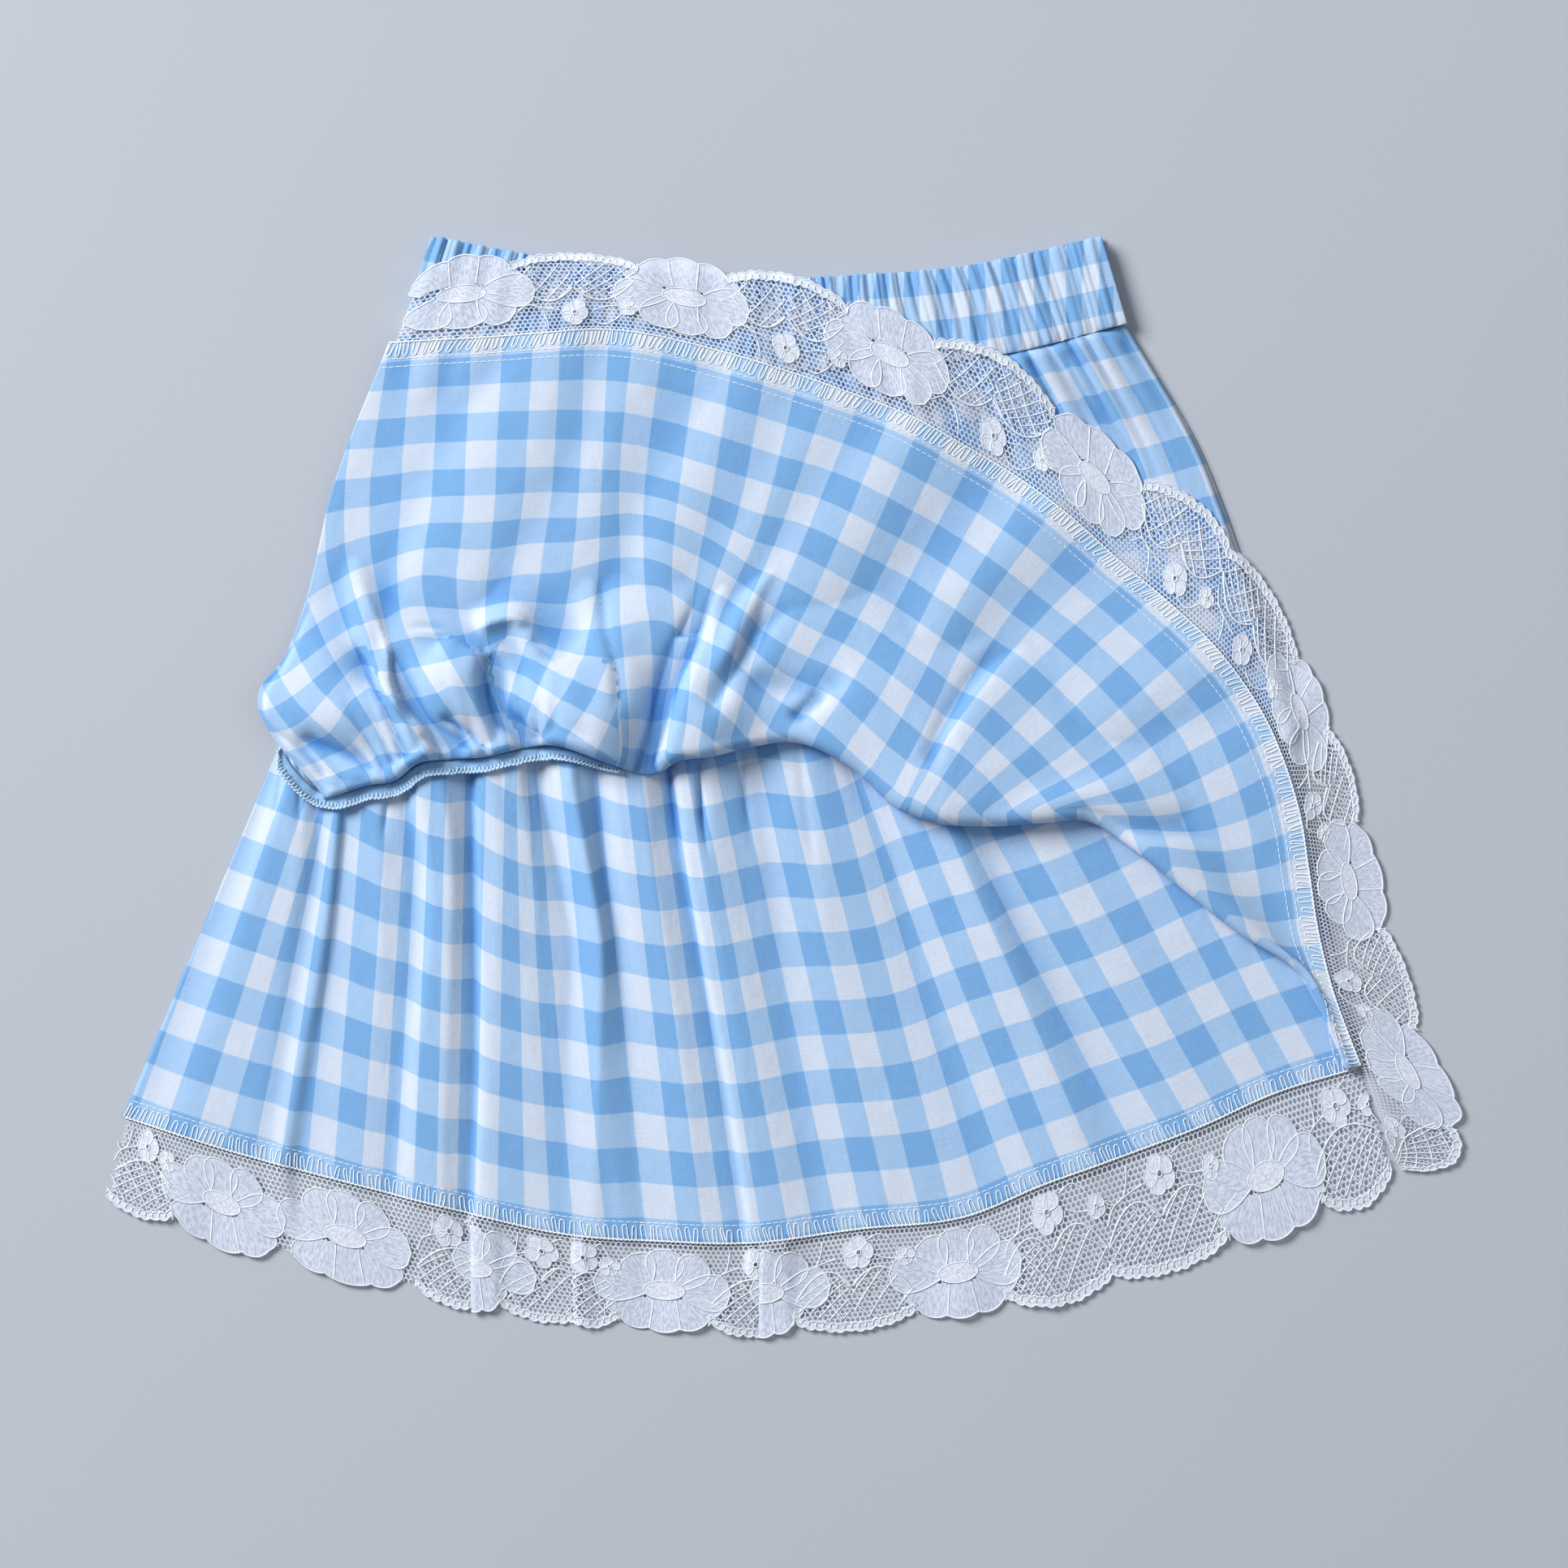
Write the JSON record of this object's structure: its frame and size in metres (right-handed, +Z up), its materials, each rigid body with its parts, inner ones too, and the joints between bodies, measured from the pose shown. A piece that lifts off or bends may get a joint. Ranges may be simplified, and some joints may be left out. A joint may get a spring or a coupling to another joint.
{
  "type": "lace trim skirt",
  "caption": "Child's two-tier gingham skirt with an elastic waist and lace hem, laid flat with its front hem turned up over the yoke.",
  "frame": {"origin": "centre of the laid-out skirt's box, on the surface that it lies on", "axes": "+X to the right across the skirt, +Y towards the waistband, +Z up from the surface"},
  "size_m": [0.4186, 0.3386, 0.0134],
  "materials": {
    "gingham": "plain-weave cotton in blue and white checks, matt",
    "lace": "white machine lace on a fine hexagonal net",
    "overlock_thread": "fuzzy overlock thread, blue"
  },
  "bodies": {
    "root": {"waistband_front": "gingham", "waistband_back": "gingham", "yoke_front": "gingham", "yoke_back": "gingham", "ruffle_front": "gingham", "ruffle_back": "gingham", "lace_front": "lace", "lace_back": "lace", "seam_allowance_front": "overlock_thread"}
  },
  "joints": []
}
